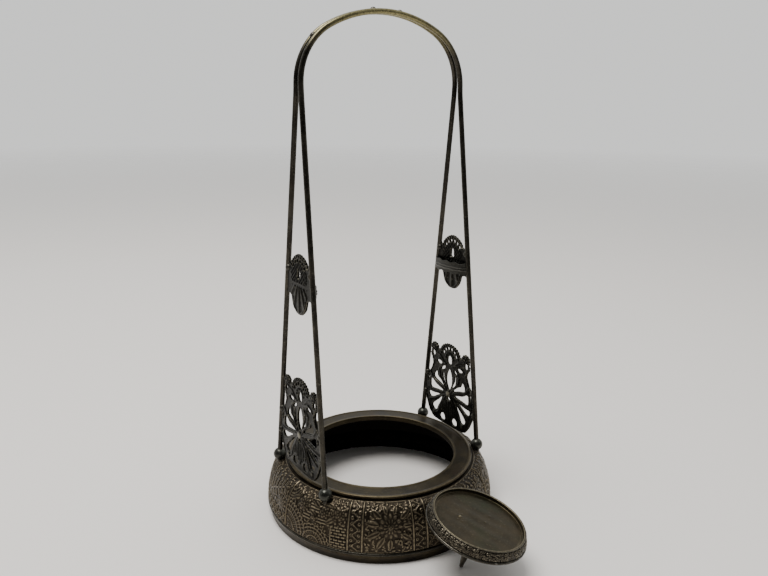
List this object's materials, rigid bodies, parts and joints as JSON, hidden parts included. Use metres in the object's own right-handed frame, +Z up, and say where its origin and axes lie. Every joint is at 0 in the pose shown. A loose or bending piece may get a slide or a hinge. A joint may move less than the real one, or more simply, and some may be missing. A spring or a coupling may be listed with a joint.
{
  "type": "pickle castor frame",
  "caption": "Silver-plated table holder for one glass jar: embossed ring base, tall wire bail with pierced plaques, and the jar's loose lid leaning on the base.",
  "frame": {"origin": "centre of the jar opening in the collar's flat top face, 31 mm above the table", "axes": "+Z up, the way the jar leaves; +X along the bail from its left legs to its right legs; -Y is the front, where the lid lies"},
  "size_m": [0.1274, 0.1698, 0.2661],
  "materials": {
    "embossed_plate": "tarnished silver plate over base metal, bright on the worn relief",
    "plain_plate": "tarnished silver plate, olive-brown, semi-gloss",
    "bail_plate": "dark tarnished wire, brassy where worn",
    "ball_plate": "dark blue-grey tarnish, semi-gloss",
    "plaque_plate": "near-black tarnished casting",
    "strap_plate": "dark tarnished strip",
    "solder": "dull grey solder",
    "lid_plain_plate": "grey-olive tarnished plate with faint green stains",
    "lid_embossed_plate": "tarnished plate, bright on the worn relief",
    "lid_edge_plate": "bright worn wire",
    "finial_plate": "tarnished plate, semi-gloss"
  },
  "bodies": {
    "castor_frame": {"base_shell": "embossed_plate", "collar_ring": "plain_plate", "foot_band": "plain_plate", "foot_bead": "plain_plate", "front_bail_wire": "bail_plate", "rear_bail_wire": "bail_plate", "leg_ball_left_front": "ball_plate", "leg_ball_left_rear": "ball_plate", "leg_ball_right_front": "ball_plate", "leg_ball_right_rear": "ball_plate", "lower_plaque_left": "plaque_plate", "lower_plaque_right": "plaque_plate", "upper_plaque_left": "plaque_plate", "upper_plaque_right": "plaque_plate", "tongs_strap_left": "strap_plate", "tongs_strap_right": "strap_plate", "leg_solder_joints": "solder", "arch_solder_beads": "solder", "lower_plaque_solder": "solder", "upper_plaque_solder": "solder"},
    "jar_lid": {"lid_pan": "lid_plain_plate", "lid_dome": "lid_plain_plate", "lid_band": "lid_embossed_plate", "lid_edge_wire": "lid_edge_plate", "finial": "finial_plate", "finial_washer": "finial_plate", "finial_stud": "finial_plate", "finial_nut": "finial_plate"}
  },
  "joints": [
    {"name": "lid_lift", "type": "slide", "parent": "castor_frame", "child": "jar_lid", "axis": [0, 0, 1], "range_m": [0, 0.08]}
  ]
}
